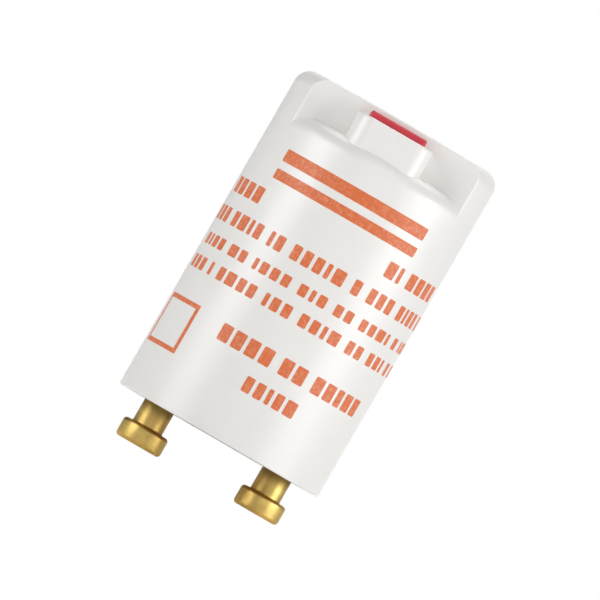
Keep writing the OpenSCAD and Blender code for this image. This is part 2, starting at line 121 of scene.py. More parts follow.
class StarterCanSettings(bpy.types.PropertyGroup):
    """Sizes of the moulded can, its grip bar and the boss for the button"""
    radius: length("Can radius", "Radius over the print", 10.7)
    ink: length("Ink", "How far the print stands off the wall", 0.014)
    height: length("Can height", "Rim to the middle of the top", 34.5)
    wall: length("Wall", "Thickness of the wall and roof", 1.1)
    top_edge: length("Top edge", "Radius of the edge round the top", 1.6)
    crown: length("Crown", "Rise of the top's middle over its edge", 0.2)
    rim_edge: length("Rim edge", "Radius of the outer edge of the rim", 0.12)
    bar_width: length("Bar width", "Thickness of the grip bar, front to back", 11.7)
    bar_foot: length("Bar foot", "How far the bar's block runs down into the can", 1.5)
    bar_corner: length("Bar corner", "Radius of the bar's upright corners", 0.4)
    bar_edge: length("Bar edge", "Radius of the bar's top edges, front and back", 0.32)
    recess: length("Recess", "Depth of the finger recesses", 4.0)
    shoulder: length("Shoulder", "Radius of the shoulder's outer edge", 1.7)
    boss_width: length("Boss width", "Width of the boss round the button", 7.95)
    boss_set: length("Boss set", "How far the boss is set in from the can's side", 0.9)
    boss_drop: length("Boss drop", "Drop from the can's top to the boss's top", 1.3)
    boss_corner: length("Boss corner", "Radius of the boss's front corners", 1.8)
    boss_edge: length("Boss edge", "Radius of the boss's top edge", 0.22)
    slot_width: length("Slot width", "Width of the button's slot", 6.2)
    slot_depth: length("Slot depth", "Depth of the button's slot, front to back", 2.44)
    slot_corner: length("Slot corner", "Radius of the slot's upright corners", 0.2)
    slot_mouth: length("Slot mouth", "How far the slot opens at its mouth, and how deep", 0.14)
    seat: length("Seat radius", "Radius of the base plate's seat", 9.9)
    seat_height: length("Seat height", "Rim to the ledge over the base plate", 2.0)
    bead: length("Snap bead", "How far the snap bead stands in from the seat", 0.12)
    bead_low: length("Bead low", "Rim to the snap bead's lower end", 0.06)
    bead_height: length("Bead height", "Height of the snap bead at the seat", 0.28)
    bead_slope: length("Bead slope", "Height of each of the bead's slopes", 0.1)

    @property
    def wall_radius(self):
        """Radius of the wall under the print"""
        return self.radius - self.ink

    @property
    def shoulder_height(self):
        """Rim to the bottom of the finger recesses"""
        return self.height - self.recess

    @property
    def roof_height(self):
        """Rim to the underside of the roof"""
        return self.shoulder_height - self.wall

    @property
    def boss_height(self):
        """Rim to the top of the boss"""
        return self.height - self.boss_drop

    @property
    def button_set(self):
        """From the can's axis to the middle of the button's head and slot"""
        return (self.radius - self.boss_set + self.bar_width / 2) / 2


class StarterPinSettings(bpy.types.PropertyGroup):
    """Sizes of the two turned contact pins"""
    pitch: length("Pin pitch", "Distance between the pins' axes", 12.7)
    reach: length("Pin reach", "How far the pins stand out of the rim", 4.25)
    head: length("Head", "Diameter of a pin's head", 4.7)
    head_height: length("Head height", "Thickness of a pin's head", 1.95)
    head_edge: length("Head edge", "Radius of the edges of a pin's head", 0.37)
    neck: length("Neck", "Diameter of a pin's neck", 3.1)
    neck_fillet: length("Neck fillet", "Radius where the neck meets the head", 0.12)
    dimple: length("Dimple", "Depth of the turning centre in a pin's end", 0.12)
    dimple_width: length("Dimple width", "Diameter of the turning centre", 0.84)
    seat: length("Pin seat", "Rim to the base plate, which the neck stops at", 0.4)
    tail: length("Tail", "Diameter of a pin's riveted tail", 2.0)
    rivet: length("Rivet", "Diameter of the rivet's head", 3.0)
    rivet_height: length("Rivet height", "Thickness of the rivet's head", 0.5)


class StarterButtonSettings(bpy.types.PropertyGroup):
    """Sizes of the reset button"""
    width: length("Button width", "Width of the button's head", 5.96)
    depth: length("Button depth", "Depth of the head, front to back", 2.2)
    chamfer: length("Button edge", "Radius of the head's top edges", 0.3)
    corner: length("Button corner", "Radius of the head's upright edges", 0.34)
    headroom: length("Headroom", "Room between the set button's flange and the roof", 1.7)
    flange: length("Flange", "Thickness of the flange", 1.0)
    flange_depth: length("Flange depth", "Depth of the flange, front to back", 3.8)
    flange_corner: length("Flange corner", "Radius of the flange's corners", 0.3)
    stem: length("Stem", "Diameter of the stem", 2.2)
    stem_set: length("Stem set", "From the can's axis to the stem's", 6.7)
    stem_low: length("Stem low", "From the button's lower end to the stem", 0.9)
    notch: length("Notch", "Height of the notch that the trip strip's hook sits in", 2.0)
    notch_set: length("Notch set", "From the stem's axis to the notch", 0.7)
    hook: length("Hook", "Thickness of the trip strip's hook", 0.5)
    spigot: length("Spigot", "Diameter of the spigot that carries the bridge", 1.3)
    stake: length("Stake", "Diameter of the stake under the bridge", 2.0)
    stake_height: length("Stake height", "Thickness of the stake", 0.5)


class StarterPrintSettings(bpy.types.PropertyGroup):
    """Sizes of the print"""
    letter: length("Block", "Width of a printed block", 0.86)
    corner: length("Block corner", "Radius of a block's corners", 0.13)
    line: length("Frame line", "Line width of the printed frame", 0.45)
    root: length("Root", "How far the print reaches into the can, from the print's face", 0.06)


class StarterColours(bpy.types.PropertyGroup):
    """Colours of what shows outside"""
    can: paint("Can", "Moulded can", "EDEBE8")
    ink: paint("Print", "Print on the can", "DC6F3E")
    ink_thin: paint("Thin print", "Print where the ink is thin", "E58F66")
    brass: paint("Pins", "Turned brass of the pins", "D9BB6E")
    # Colour of the painted shade on the pins' necks, under the can
    painted_root_shade: paint("Painted root shade", "Tarnish at the roots of the pins", "6E5A2E")
    button: paint("Button", "Moulded reset button", "CB3743")
    board: paint("Base", "Board that closes the can", "A9804E")
    floor: paint("Floor", "Floor and backdrop", "FFFFFF")


SETTINGS = {
    "starter_can": StarterCanSettings,
    "starter_pins": StarterPinSettings,
    "starter_button": StarterButtonSettings,
    "starter_print": StarterPrintSettings,
    "starter_colours": StarterColours,
}


# Modelling

def clear():
    """Leaves edit mode and deselects everything."""
    if bpy.context.object is not None and bpy.context.object.mode != "OBJECT":
        bpy.ops.object.mode_set(mode="OBJECT")
    bpy.ops.object.select_all(action="DESELECT")


def take(piece):
    """Makes a piece the only one selected."""
    clear()
    piece.select_set(True)
    bpy.context.view_layer.objects.active = piece
    return piece


def named(name):
    """Names what an operator has just added, and settles its place into its mesh."""
    piece = bpy.context.object
    piece.name = piece.data.name = name
    bpy.ops.object.transform_apply(location=True, rotation=True, scale=True)
    return piece


def block(name, low, high):
    """A box between two corners."""
    clear()
    middle = [(a + b) / 2 for a, b in zip(low, high)]
    bpy.ops.mesh.primitive_cube_add(size=1, location=middle,
                                    scale=[b - a for a, b in zip(low, high)])
    return named(name)


def drum(name, radius, low, high, place=(0.0, 0.0), sides=CAN_SIDES):
    """A round bar between two heights."""
    clear()
    bpy.ops.mesh.primitive_cylinder_add(vertices=sides, radius=radius, depth=high - low,
                                        location=(place[0], place[1], (low + high) / 2))
    return named(name)


def draw(points):
    """In edit mode, draws a run of points, each extruded from the last, and selects the run."""
    bpy.ops.mesh.select_all(action="DESELECT")
    bpy.ops.mesh.primitive_plane_add(size=MM, location=(0, 0, 0))
    bpy.ops.mesh.merge(type="CENTER")
    bpy.ops.transform.translate(value=points[0])
    for a, b in zip(points, points[1:]):
        step = [q - p for p, q in zip(a, b)]
        bpy.ops.mesh.extrude_vertices_move(TRANSFORM_OT_translate={"value": step})
    bpy.ops.mesh.select_linked()


def start(name):
    """An empty piece, open in edit mode."""
    clear()
    bpy.ops.mesh.primitive_plane_add(size=MM, location=(0, 0, 0))
    piece = named(name)
    bpy.ops.object.mode_set(mode="EDIT")
    bpy.context.tool_settings.mesh_select_mode = (True, False, False)
    bpy.ops.mesh.select_all(action="SELECT")
    bpy.ops.mesh.delete(type="VERT")
    return piece


def close(piece):
    """Merges what meets, turns the faces outward and leaves edit mode."""
    bpy.ops.mesh.select_all(action="SELECT")
    bpy.ops.mesh.remove_doubles(threshold=MM / 2000)
    bpy.ops.mesh.normals_make_consistent(inside=False)
    bpy.ops.object.mode_set(mode="OBJECT")
    return piece


def turned(name, outline, x=0.0, sides=CAN_SIDES):
    """Turns an outline of radius and height round an upright axis, as on a lathe."""
    piece = start(name)
    draw([(r, 0.0, z) for r, z in outline])
    bpy.ops.mesh.spin(steps=sides, angle=2 * math.pi, center=(0, 0, 0), axis=(0, 0, 1))
    bpy.ops.mesh.select_all(action="SELECT")
    bpy.ops.transform.translate(value=(x, 0, 0))
    return close(piece)


def raised(name, outline, low, high):
    """A flat outline of x and y, filled and extruded between two heights."""
    piece = start(name)
    draw([(x, y, low) for x, y in outline])
    bpy.ops.mesh.edge_face_add()
    bpy.ops.mesh.extrude_region_move(TRANSFORM_OT_translate={"value": (0, 0, high - low)})
    return close(piece)


def arc(centre, radius, first, last, steps):
    """Points on an arc, with both ends. Angles are in degrees."""
    turns = [math.radians(first + (last - first) * i / steps) for i in range(steps + 1)]
    return [(centre[0] + radius * math.cos(t), centre[1] + radius * math.sin(t)) for t in turns]


def work(piece, tool, operation):
    """Joins, cuts or trims a piece with a tool, and the tool is used up."""
    take(piece)
    bpy.ops.object.modifier_add(type="BOOLEAN")
    modifier = piece.modifiers[-1]
    modifier.operation = operation
    modifier.solver = "EXACT"
    modifier.object = tool
    bpy.ops.object.modifier_apply(modifier=modifier.name)
    bpy.data.objects.remove(tool)
    if not piece.data.polygons:
        raise RuntimeError(f"{piece.name} came out empty from {operation}")
    return piece


def round_edges(piece, wanted, radius, segments):
    """Bevels the edges whose two ends pass a test."""
    take(piece)
    bpy.context.tool_settings.mesh_select_mode = (False, True, False)
    bpy.ops.object.mode_set(mode="EDIT")
    bpy.ops.mesh.select_all(action="DESELECT")
    bpy.ops.object.mode_set(mode="OBJECT")
    places = [v.co for v in piece.data.vertices]
    picked = 0
    for edge in piece.data.edges:
        if wanted(places[edge.vertices[0]], places[edge.vertices[1]]):
            edge.select = True
            picked += 1
    if not picked:
        raise RuntimeError(f"{piece.name} has no edge to round")
    bpy.ops.object.mode_set(mode="EDIT")
    bpy.ops.mesh.bevel(offset=radius, segments=segments, profile=0.5, affect="EDGES")
    bpy.ops.object.mode_set(mode="OBJECT")


def near(a, b):
    """Whether two measures are the same to a thousandth of a millimetre."""
    return abs(a - b) < MM / 1000


def polish(piece, even=True):
    """Shades soft bends smooth, and keeps flat faces flat up to their edges."""
    take(piece)
    bpy.ops.object.shade_smooth_by_angle(angle=SOFT_TURN, keep_sharp_edges=False)
    if even:
        bpy.ops.object.modifier_add(type="WEIGHTED_NORMAL")
        modifier = piece.modifiers[-1]
        modifier.keep_sharp = True
        modifier.weight = 80
        bpy.ops.object.modifier_apply(modifier=modifier.name)


def frame_top(node):
    """The height of a CAD node's highest point."""
    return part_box(node)[1].z


def place(piece, body, slot, material, *nodes):
    """Hangs a finished piece on its CAD body and gives it its finish."""
    piece.data.materials.clear()
    piece.data.materials.append(material)
    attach(piece, body)
    if nodes:
        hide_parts(*nodes)


# Finishes

def add_node(tree, kind, values=None, links=None, **options):
    """Adds a node with its options, the values of its sockets and the links into them."""
    node = tree.nodes.new("ShaderNode" + kind)
    for key, value in options.items():
        setattr(node, key, value)
    for key, value in (values or {}).items():
        node.inputs[key].default_value = value
    for key, output in (links or {}).items():
        tree.links.new(output, node.inputs[key])
    return node


def new_finish(name):
    """An empty material with its shader and the piece's own coordinates."""
    material = bpy.data.materials.new(name)
    material.use_nodes = True
    tree = material.node_tree
    tree.nodes.clear()
    shader = add_node(tree, "BsdfPrincipled")
    add_node(tree, "OutputMaterial", links={"Surface": shader.outputs["BSDF"]})
    coords = add_node(tree, "TexCoord").outputs["Object"]
    return material, tree, shader, coords


def rgba(colour, times=1.0):
    """A linear colour, made lighter or darker, with full cover."""
    return [min(1.0, c * times) for c in colour[:3]] + [1.0]


def roughen(tree, shader, noise, low, high):
    """Lets a noise move the shader's roughness from low to high."""
    rough = add_node(tree, "MapRange", {"From Min": NOISE_LOW, "From Max": NOISE_HIGH,
                                        "To Min": low, "To Max": high},
                     {"Value": noise.outputs["Fac"]})
    tree.links.new(rough.outputs["Result"], shader.inputs["Roughness"])


def grained(name, colour, rough, grain_mm, spread=0.04, rough_spread=0.04, relief_mm=0.0,
            stretch=(1, 1, 1), **sockets):
    """A finish whose colour, gloss and surface waver with a grain of a real size.

    The grain is in millimetres; stretch draws it out, as rolling or drawing does. The other
    words are sockets of the shader.
    """
    material, tree, shader, coords = new_finish(name)
    spots = add_node(tree, "Mapping", {"Scale": stretch}, {"Vector": coords})
    noise = add_node(tree, "TexNoise", {"Scale": 1 / (grain_mm * MM), "Detail": 3.0},
                     {"Vector": spots.outputs["Vector"]})
    tint = add_node(tree, "ValToRGB", links={"Fac": noise.outputs["Fac"]})
    tint.color_ramp.elements[0].position = NOISE_LOW
    tint.color_ramp.elements[0].color = rgba(colour, 1 - spread)
    tint.color_ramp.elements[1].position = NOISE_HIGH
    tint.color_ramp.elements[1].color = rgba(colour, 1 + spread)
    tree.links.new(tint.outputs["Color"], shader.inputs["Base Color"])
    roughen(tree, shader, noise, rough - rough_spread, rough + rough_spread)
    if relief_mm:
        bump = add_node(tree, "Bump", {"Strength": 1.0, "Distance": relief_mm * MM},
                        {"Height": noise.outputs["Fac"]})
        tree.links.new(bump.outputs["Normal"], shader.inputs["Normal"])
    for key, value in sockets.items():
        shader.inputs[key.replace("_", " ")].default_value = value
    return material


def turned_brass(colour, painted_root_shade, pitch):
    """Turned brass pins: satin, fine tool rings, thin tarnished patches, painted shade at the neck's root.
    """
    material, tree, shader, coords = new_finish("Turned brass")
    parts = add_node(tree, "SeparateXYZ", links={"Vector": coords})
    side = add_node(tree, "Math", links={0: parts.outputs["X"]}, operation="ABSOLUTE")
    off = add_node(tree, "Math", {1: pitch / 2}, {0: side.outputs["Value"]}, operation="SUBTRACT")
    flat = add_node(tree, "CombineXYZ", {"Z": 0.0},
                    {"X": off.outputs["Value"], "Y": parts.outputs["Y"]})
    reach = add_node(tree, "VectorMath", links={0: flat.outputs["Vector"]}, operation="LENGTH")
    path = add_node(tree, "Math", links={0: reach.outputs["Value"], 1: parts.outputs["Z"]},
                    operation="ADD")
    # Rings 0.09 mm apart, as a fine feed leaves them
    rings = add_node(tree, "TexNoise", {"Scale": 1 / (0.09 * MM), "Detail": 2.0},
                     {"W": path.outputs["Value"]}, noise_dimensions="1D")
    # Tarnish in patches of about 1.6 mm
    cloud = add_node(tree, "TexNoise", {"Scale": 1 / (1.6 * MM), "Detail": 4.0},
                     {"Vector": coords})
    tint = add_node(tree, "ValToRGB", links={"Fac": cloud.outputs["Fac"]})
    tint.color_ramp.elements[0].position = 0.32
    tint.color_ramp.elements[0].color = rgba(colour, 0.8)
    tint.color_ramp.elements[1].position = 0.62
    tint.color_ramp.elements[1].color = rgba(colour, 1.06)
    # Painted shade: the colour darkens toward olive brown over the last 1.3 mm of the neck, under the base
    root = add_node(tree, "MapRange", {"From Min": -1.3 * MM, "From Max": -0.1 * MM,
                                       "To Min": 0.0, "To Max": 0.8},
                    {"Value": parts.outputs["Z"]}, interpolation_type="SMOOTHSTEP")
    root_shaded = add_node(tree, "Mix", {7: rgba(painted_root_shade)},
                    {0: root.outputs["Result"], 6: tint.outputs["Color"]}, data_type="RGBA")
    tree.links.new(root_shaded.outputs[2], shader.inputs["Base Color"])
    roughen(tree, shader, cloud, 0.48, 0.38)
    bump = add_node(tree, "Bump", {"Strength": 0.6, "Distance": 0.004 * MM},
                    {"Height": rings.outputs["Fac"]})
    tree.links.new(bump.outputs["Normal"], shader.inputs["Normal"])
    shader.inputs["Metallic"].default_value = 1.0
    return material


def printed_ink(colour, thin):
    """Stamped ink: full in most places, thin where the pad left the plastic to show through."""
    material, tree, shader, coords = new_finish("Stamped orange ink")
    # Thin places of about 0.35 mm
    noise = add_node(tree, "TexNoise", {"Scale": 1 / (0.35 * MM), "Detail": 4.0},
                     {"Vector": coords})
    tint = add_node(tree, "ValToRGB", links={"Fac": noise.outputs["Fac"]})
    tint.color_ramp.elements[0].position = 0.45
    tint.color_ramp.elements[0].color = rgba(colour)
    tint.color_ramp.elements[1].position = 0.75
    tint.color_ramp.elements[1].color = rgba(thin)
    tree.links.new(tint.outputs["Color"], shader.inputs["Base Color"])
    roughen(tree, shader, noise, 0.48, 0.38)
    return material


def can_plastic(colour):
    """Glossy white plastic: a broad soft highlight, broken by the mould's faint ripple."""
    return grained("Moulded white polycarbonate", colour, 0.38, 2.4, 0.008, 0.02, 0.004,
                  IOR=1.585, Specular_IOR_Level=0.9)


def button_plastic(colour):
    """Red moulded plastic: the same gloss as the can, with slightly streaky pigment."""
    return grained("Moulded red plastic", colour, 0.33, 0.8, 0.07, 0.04, 0.003)


def inner_finishes(colours):
    """The finishes of the CAD nodes that stay, by the record's material slot."""
    return {
        # Paper laminate: brown, dull, with pale fibre flecks
        "base_board": grained("Paper laminate board", colours.board, 0.62, 0.25, 0.16, 0.08, 0.01),
        # Tin over brass: a milky metal, scuffed along the strip
        "tinned_brass": grained("Tinned brass strip", linear("CFCAC0"), 0.34, 0.3, 0.08, 0.08,
                                0.002, (1, 1, 0.2), Metallic=1.0),
        # Clear blown glass: sharp gleam, faint waviness of the wall
        "bulb_glass": grained("Blown lamp glass", linear("F2F6F6"), 0.06, 3.0, 0.01, 0.03, 0.01,
                              Transmission_Weight=1.0),
        # Drawn nickel-iron wire: grey, drawn lengthwise
        "post_wire": grained("Nickel-iron wire", linear("B5B2AA"), 0.36, 0.2, 0.06, 0.06, 0.001,
                             (1, 1, 0.15), Metallic=1.0),
        # Rolled bimetal: straw brown with fine rolling lines
        "bimetal": grained("Rolled bimetal", linear("A8895C"), 0.4, 0.25, 0.1, 0.08, 0.002,
                           (1, 1, 0.12), Metallic=1.0),
        # Dipped resin: orange brown, glossy, uneven where it ran
        "capacitor_coat": grained("Dipped resin coat", linear("B5793A"), 0.28, 1.8, 0.08, 0.06,
                                  0.05),
        # Tinned copper wire: bright, with dull spots
        "tinned_wire": grained("Tinned copper wire", linear("C4C2BB"), 0.3, 0.35, 0.07, 0.1,
                               0.001, Metallic=1.0),
        # Glass-filled moulding: near black and dull, with pale streaks of fibre
        "carrier_plastic": grained("Glass-filled moulding", linear("3F4246"), 0.55, 0.4, 0.12,
                                   0.08, 0.006),
        # Spring brass strip: red gold, with fine rolling lines
        "contact_brass": grained("Rolled spring brass", linear("C58B3A"), 0.3, 0.25, 0.08, 0.08,
                                 0.002, (0.15, 1, 1), Metallic=1.0),
        # Silver contact rivets: pale, with a soft tarnish
        "contact_silver": grained("Silver contact", linear("D9DADB"), 0.24, 0.4, 0.08, 0.08,
                                  0.001, Metallic=1.0),
        # Lacquered resistor body: blue, egg-shell gloss
        "heater_coat": grained("Lacquered ceramic", linear("5D86A8"), 0.42, 0.5, 0.07, 0.05,
                               0.008),
        # Spring wire: dark grey, drawn smooth
        "spring_steel": grained("Drawn spring steel", linear("9C9FA3"), 0.28, 0.2, 0.06, 0.06,
                                0.001, Metallic=1.0),
    }


# Pieces

class STARTER_OT_can(bpy.types.Operator):
    """Builds the moulded can with its grip bar, finger recesses and button boss"""
    bl_idname = "starter.can"
    bl_label = "Build the can"

    def execute(self, context):
        can = context.scene.starter_can
        shell = self.drum_shell(can)
        work(shell, self.grip_bar(can), "UNION")
        work(shell, self.boss(can), "UNION")
        self.hollow(shell, can)
        self.cut_slot(shell, can)
        polish(shell)
        finish = can_plastic(context.scene.starter_colours.can)
        place(shell, "body", "can_plastic", finish, "housing")
        return {"FINISHED"}

    def drum_shell(self, can):
        """The drum up to the shoulders, still solid."""
        rim_r, shoulder_r = can.wall_radius - can.rim_edge, can.wall_radius - can.shoulder
        top = can.shoulder_height
        outline = [(0, 0)]
        outline += arc((rim_r, can.rim_edge), can.rim_edge, -90, 0, 4)
        outline += arc((shoulder_r, top - can.shoulder), can.shoulder, 0, 90, 14)
        outline += [(0, top)]
        return turned("can_shell", outline)

    def grip_bar(self, can):
        """The bar over the shoulders: a round block, trimmed to its plan and its crowned top."""
        # The block has the can's top edge and stands just inside the drum's wall
        bar_r = can.wall_radius - HAIR
        low = can.shoulder_height - can.shoulder - can.bar_foot
        edge_z = can.height - can.top_edge - can.crown / 2
        outline = [(0, low), (bar_r, low)]
        outline += arc((bar_r - can.top_edge, edge_z), can.top_edge, 0, 90, 14)
        outline += [(bar_r - can.top_edge, can.height + PAST), (0, can.height + PAST)]
        bar = turned("grip_bar", outline)

        # The plan has rounded corners; a quarter of it is drawn and mirrored
        c_y = can.bar_width / 2 - can.bar_corner
        c_x = math.sqrt((bar_r - can.bar_corner) ** 2 - c_y ** 2)
        turn = math.degrees(math.atan2(c_y, c_x))
        beyond = 1.2 * bar_r
        corner = arc((c_x, c_y), can.bar_corner, turn, 90, 7)
        quarter = [(beyond, 0.0), (beyond * math.cos(math.radians(turn)),
                                   beyond * math.sin(math.radians(turn)))] + corner
        outline = quarter + [(-x, y) for x, y in reversed(quarter)]
        outline += [(-x, -y) for x, y in quarter[1:]] + [(x, -y) for x, y in reversed(quarter[1:])]
        work(bar, raised("bar_trim", outline, low - PAST, can.height + PAST), "INTERSECT")
        return work(bar, self.crowned_block(can, 1.1 * bar_r, low), "INTERSECT")

    def crowned_block(self, can, reach, low):
        """A long block with the bar's crowned top, whose edges are rounded front and back."""
        crown_r = (can.radius ** 2 + can.crown ** 2) / (2 * can.crown)

        def sag(v):
            return v * v / (2 * crown_r)

        bar_y, edge = can.bar_width / 2, can.bar_edge
        top = can.height - sag(bar_y)
        half = [(bar_y * i / 4, can.height - sag(bar_y * i / 4)) for i in range(4)]
        half += reversed(arc((bar_y - edge, top - edge), edge, 0, 90, 5))
        half += [(bar_y, low)]
        section = half + [(-y, z) for y, z in reversed(half[1:])]
        piece = start("top_trim")
        stations = [reach * (i / 8 - 1) for i in range(17)]
        draw([(stations[0], y, z - sag(stations[0])) for y, z in section])
        bpy.ops.mesh.edge_face_add()
        for a, b in zip(stations, stations[1:]):
            bpy.ops.mesh.extrude_region_move(
                TRANSFORM_OT_translate={"value": (b - a, 0, sag(a) - sag(b))})
        return close(piece)

    def boss(self, can):
        """The boss for the button, with round front corners and a softened top edge."""
        x, front = can.boss_width / 2, can.wall_radius - can.boss_set
        back, top = (can.wall - can.bar_width) / 2, can.boss_height
        boss = block("boss", (-x, -front, can.roof_height), (x, back, top))
        round_edges(boss, lambda a, b: near(a.x, b.x) and near(a.y, -front) and near(b.y, -front)
                    and not near(a.z, b.z), can.boss_corner, 12)
        round_edges(boss, lambda a, b: near(a.z, top) and near(b.z, top)
                    and not (near(a.y, back) and near(b.y, back)), can.boss_edge, 4)
        return boss

    def hollow(self, shell, can):
        """Hollows the can and its bar, and cuts the base plate's seat with its snap bead."""
        roof_z, bar_y = can.roof_height, can.bar_width / 2
        work(shell, drum("hollow", can.radius - can.wall, -PAST, roof_z), "DIFFERENCE")
        work(shell, block("bar_hollow", (-bar_y, -bar_y + can.wall, roof_z - PAST),
                          (bar_y, bar_y - can.wall, can.height - 1.5 * can.wall)), "DIFFERENCE")
        bead_r, bead_top = can.seat - can.bead, can.bead_low + can.bead_height
        ring = [(0, -PAST), (can.seat, -PAST), (can.seat, can.bead_low),
                (bead_r, can.bead_low + can.bead_slope), (bead_r, bead_top - can.bead_slope),
                (can.seat, bead_top), (can.seat, can.seat_height), (0, can.seat_height)]
        work(shell, turned("seat", ring), "DIFFERENCE")

    def cut_slot(self, shell, can):
        """Cuts the button's slot, whose mouth is slightly open."""
        y, top, mouth = -can.button_set, can.boss_height, can.slot_mouth
        w, d = can.slot_width / 2, can.slot_depth / 2
        slot = block("slot", (-w, y - d, can.roof_height - PAST), (w, y + d, top - mouth))
        round_edges(slot, lambda a, b: near(a.x, b.x) and near(a.y, b.y), can.slot_corner, 4)
        work(shell, slot, "DIFFERENCE")
        flare = block("slot_mouth", (-w, y - d, top - mouth - HAIR), (w, y + d, top + mouth))
        take(flare)
        bpy.context.tool_settings.mesh_select_mode = (False, False, True)
        bpy.ops.object.mode_set(mode="EDIT")
        bpy.ops.mesh.select_all(action="DESELECT")
        bpy.ops.object.mode_set(mode="OBJECT")
        for face in flare.data.polygons:
            face.select = face.normal.z > 0.9
        bpy.ops.object.mode_set(mode="EDIT")
        bpy.ops.transform.resize(value=(1 + 2 * mouth / w, 1 + 2 * mouth / d, 1),
                                 center_override=(0, y, top))
        bpy.ops.object.mode_set(mode="OBJECT")
        work(shell, flare, "DIFFERENCE")


class STARTER_OT_pins(bpy.types.Operator):
    """Turns the two mushroom contact pins"""
    bl_idname = "starter.pins"
    bl_label = "Turn the pins"

    def execute(self, context):
        pins = context.scene.starter_pins
        low = -pins.reach
        head_r, neck_r, tail_r = pins.head / 2, pins.neck / 2, pins.tail / 2
        edge = pins.head_edge
        inner_r = head_r - edge
        head_z = low + pins.head_height
        rivet_z = frame_top("contact_pin_left") - pins.rivet_height
        rivet_r, dimple_r = pins.rivet / 2, pins.dimple_width / 2
        # The turning centre is a shallow cone with a softened rim
        outline = [(0, low + pins.dimple), (dimple_r * 5 / 7, low + pins.dimple / 4)]
        outline += [(dimple_r, low)]
        outline += arc((inner_r, low + edge), edge, -90, 0, 8)
        outline += arc((inner_r, head_z - edge), edge, 0, 90, 8)
        outline += list(reversed(arc((neck_r + pins.neck_fillet, head_z + pins.neck_fillet),
                                     pins.neck_fillet, 180, 270, 4)))
        outline += [(neck_r, pins.seat), (tail_r, pins.seat), (tail_r, rivet_z)]
        # The rivet's head, in shares of its radius and height
        outline += [(rivet_r * r, rivet_z + pins.rivet_height * h) for r, h in
                    ((1.0, 0.0), (1.0, 0.36), (0.8, 0.84), (0.45, 1.0), (0.0, 1.0))]
        left = turned("pin_left", outline, -pins.pitch / 2, PIN_SIDES)
        polish(left)
        take(left)
        bpy.ops.object.duplicate(linked=False)
        right = bpy.context.object
        right.name = right.data.name = "pin_right"
        bpy.ops.object.mode_set(mode="EDIT")
        bpy.ops.mesh.select_all(action="SELECT")
        bpy.ops.transform.translate(value=(pins.pitch, 0, 0))
        bpy.ops.object.mode_set(mode="OBJECT")
        colours = context.scene.starter_colours
        finish = turned_brass(colours.brass, colours.painted_root_shade, pins.pitch)
        place(left, "body", "pin_brass", finish, "contact_pin_left")
        place(right, "body", "pin_brass", finish, "contact_pin_right")
        return {"FINISHED"}


class STARTER_OT_button(bpy.types.Operator):
    """Builds the reset button with its flange and notched stem"""
    bl_idname = "starter.button"
    bl_label = "Build the button"

    def execute(self, context):
        button, can = context.scene.starter_button, context.scene.starter_can
        low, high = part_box("reset_button")
        y, w, d = -can.button_set, button.width / 2, button.depth / 2
        flange_z = can.roof_height - button.headroom
        flange_low = flange_z - button.flange
        head = block("reset_button_head", (-w, y - d, flange_low), (w, y + d, high.z))
        round_edges(head, lambda a, b: near(a.x, b.x) and near(a.y, b.y), button.corner, 4)
        round_edges(head, lambda a, b: near(a.z, high.z) and near(b.z, high.z), button.chamfer, 4)

        # The flange, as wide as the frame's button
        stem_y, flange_y = -button.stem_set, button.flange_depth / 2
        flange = block("flange", (low.x, stem_y - flange_y, flange_low),
                       (high.x, stem_y + flange_y, flange_z))
        round_edges(flange, lambda a, b: near(a.x, b.x) and near(a.y, b.y),
                    button.flange_corner, 3)
        work(head, flange, "UNION")

        # The stem, with its notch over the hook's underside
        axis, stem_z = (0, stem_y), low.z + button.stem_low
        stem = drum("stem", button.stem / 2, stem_z, flange_low + SUNK, axis, STEM_SIDES)
        notch_low = frame_top("trip_bimetal") - button.hook
        notch = block("notch", (-button.stem, stem_y + button.notch_set, notch_low),
                      (button.stem, stem_y + button.stem, notch_low + button.notch))
        work(stem, notch, "DIFFERENCE")
        work(head, stem, "UNION")

        # The spigot through the contact bridge, staked below it
        stake_top = low.z + button.stake_height
        work(head, drum("spigot", button.spigot / 2, stake_top - SUNK, stem_z + SUNK, axis,
                        SPIGOT_SIDES), "UNION")
        work(head, drum("stake", button.stake / 2, low.z, stake_top, axis, SPIGOT_SIDES), "UNION")
        polish(head)
        finish = button_plastic(context.scene.starter_colours.button)
        place(head, "button", "button_red", finish, "reset_button")
        return {"FINISHED"}


# The stripes and the frame: first and last angle from the front in degrees, and the heights from
# and to in millimetres
PRINT_STRIPES = [
    ("print_stripe_high", -47.6, 42.0, 25.55, 26.8),
    ("print_stripe_low", -47.6, 42.0, 23.75, 24.75),
]
PRINT_FRAME = (-79.0, -45.5, 4.9, 10.0)
# Rows of blocks: heights from and to in millimetres, first angle in degrees, and words whose
# digits are the widths of their blocks
PRINT_ROWS = [
    ("print_row_2_left", 20.9, 22.5, -78, "3333"),
    ("print_row_2_right", 20.9, 22.5, 31.5, "31 3333"),
    ("print_row_3", 17.95, 19.45, -82,
     "222 2312 12 22213 2 222 2122 23 221 2222 12 2322 22 1222 32 221"),
    ("print_row_4", 15.4, 16.55, -76,
     "2122 32 1222 212 22 2231 2 1223 212 122 2213 2 222 2122 31 22"),
    ("print_row_5", 12.9, 14.2, -78,
     "222 1 2322 122 2213 22 221 2 2122 32 22 2312 122 222 2 2213 22"),
    ("print_row_6", 8.1, 9.8, -27.5, "3333 33 33233"),
    ("print_row_7", 5.05, 6.6, -3.2, "22123"),
]
# Widths of a thin, a plain and a wide block, the gap between blocks and the one between words,
# in plain blocks
BLOCK_WIDTHS = {"1": 0.55, "2": 1.0, "3": 1.35}
BLOCK_GAP, WORD_GAP = 0.42, 1.15
# Angle of one flat of the print's sweep, in degrees
SWEEP_STEP = 1.8


